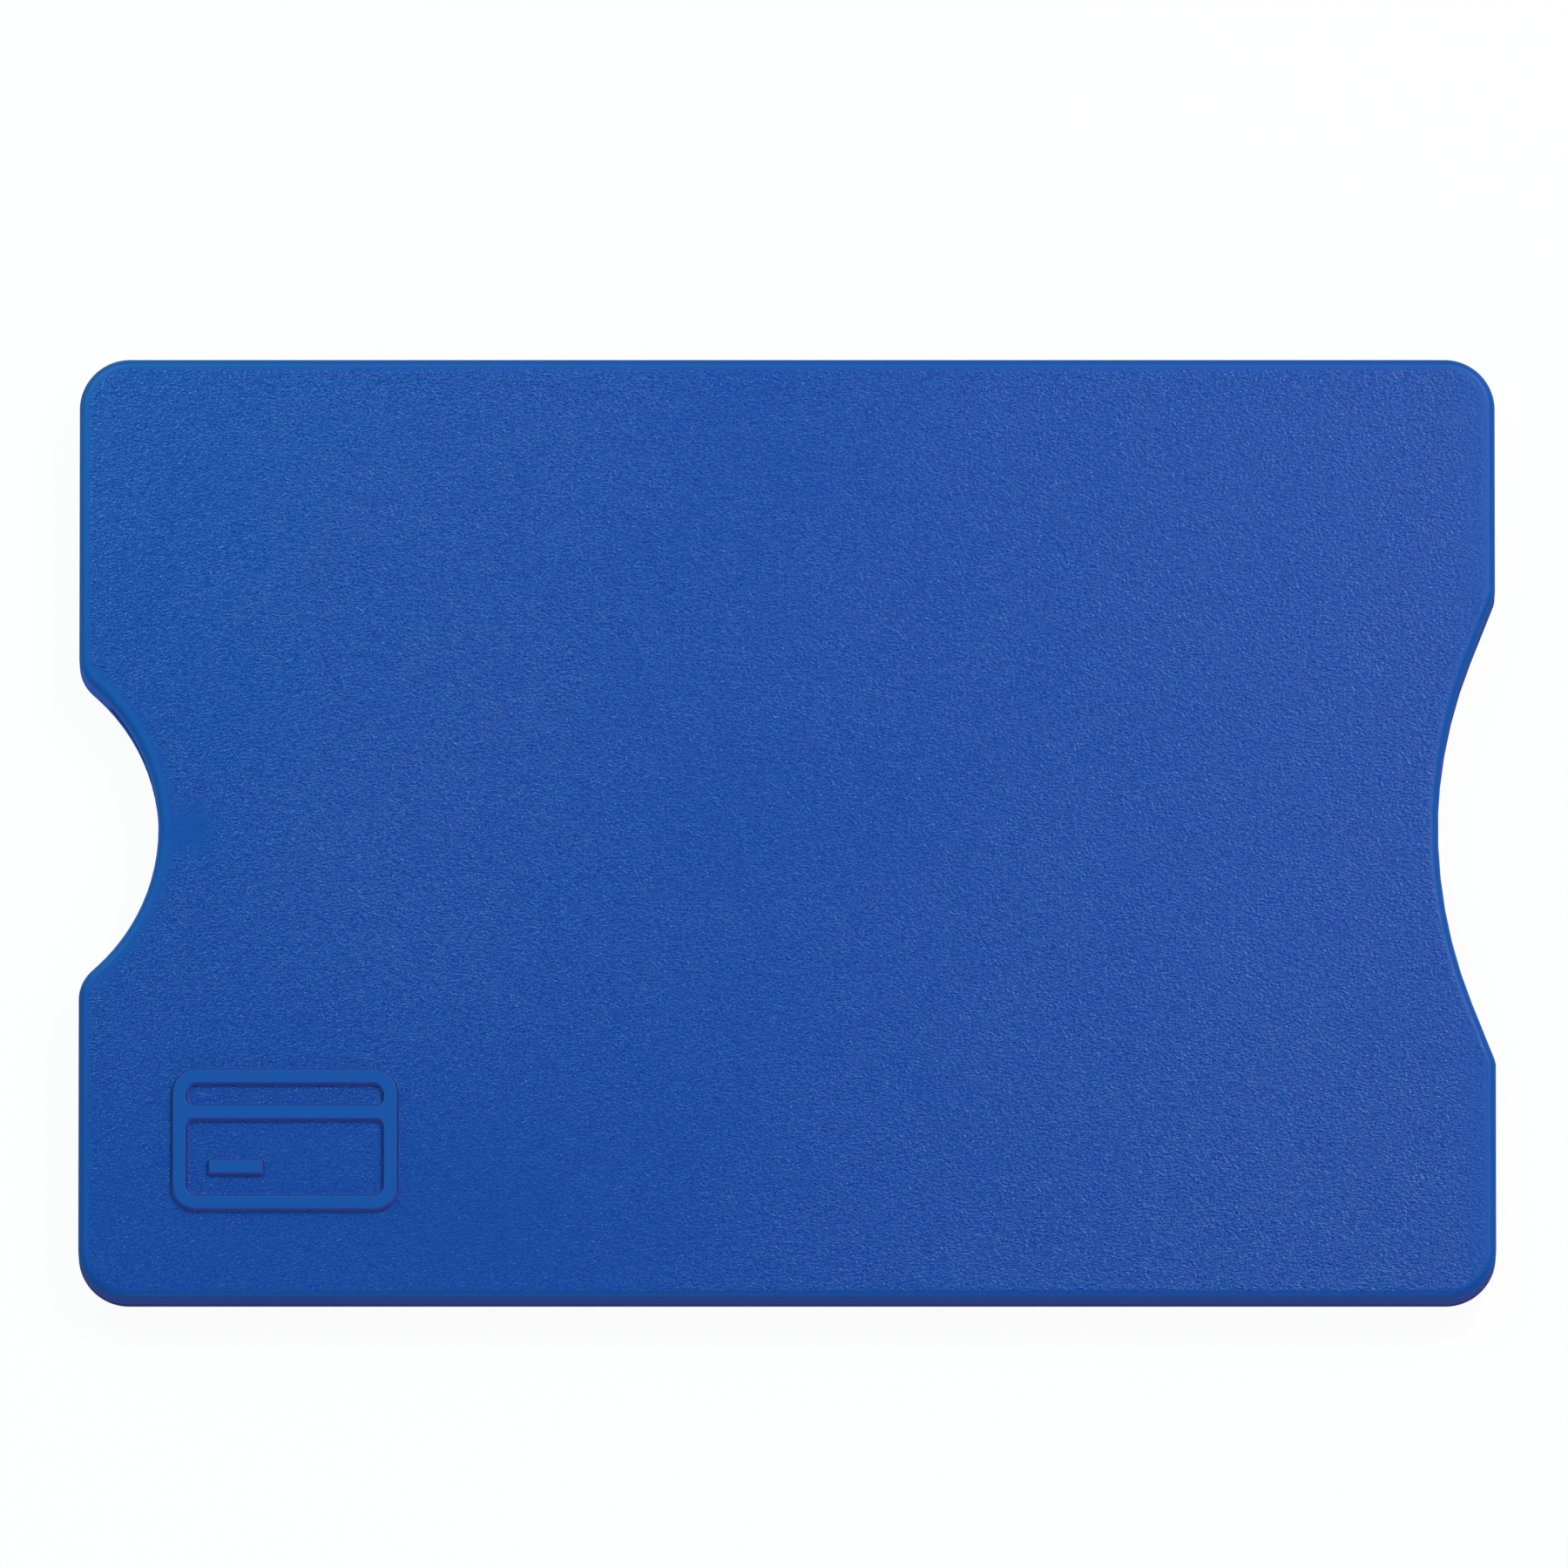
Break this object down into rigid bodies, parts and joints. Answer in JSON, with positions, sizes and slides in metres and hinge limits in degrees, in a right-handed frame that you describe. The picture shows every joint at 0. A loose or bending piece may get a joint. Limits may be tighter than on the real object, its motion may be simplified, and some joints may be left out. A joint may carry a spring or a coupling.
{
  "type": "rfid card sleeve",
  "caption": "Flat hard-plastic sleeve for a bank card, foil-lined panels welded to rails, open at one end, with a thumb notch at the other to push the card out.",
  "frame": {"origin": "centre of the outline, on the rear face that the sleeve lies on", "axes": "+X along the length towards the open mouth, +Y across the width, +Z out of the front face with the raised card sign"},
  "size_m": [0.09, 0.0604, 0.0044],
  "materials": {
    "shell_plastic": "blue polystyrene, satin with a fine moulded grain on both faces and a smooth rim",
    "shield_foil": "bright rolled aluminium foil",
    "foil_adhesive": "clear acrylic transfer adhesive"
  },
  "bodies": {
    "root": {"front_panel": "shell_plastic", "rear_panel": "shell_plastic", "upper_rail": "shell_plastic", "lower_rail": "shell_plastic", "front_shield_foil": "shield_foil", "rear_shield_foil": "shield_foil", "front_foil_adhesive": "foil_adhesive", "rear_foil_adhesive": "foil_adhesive"}
  },
  "joints": []
}
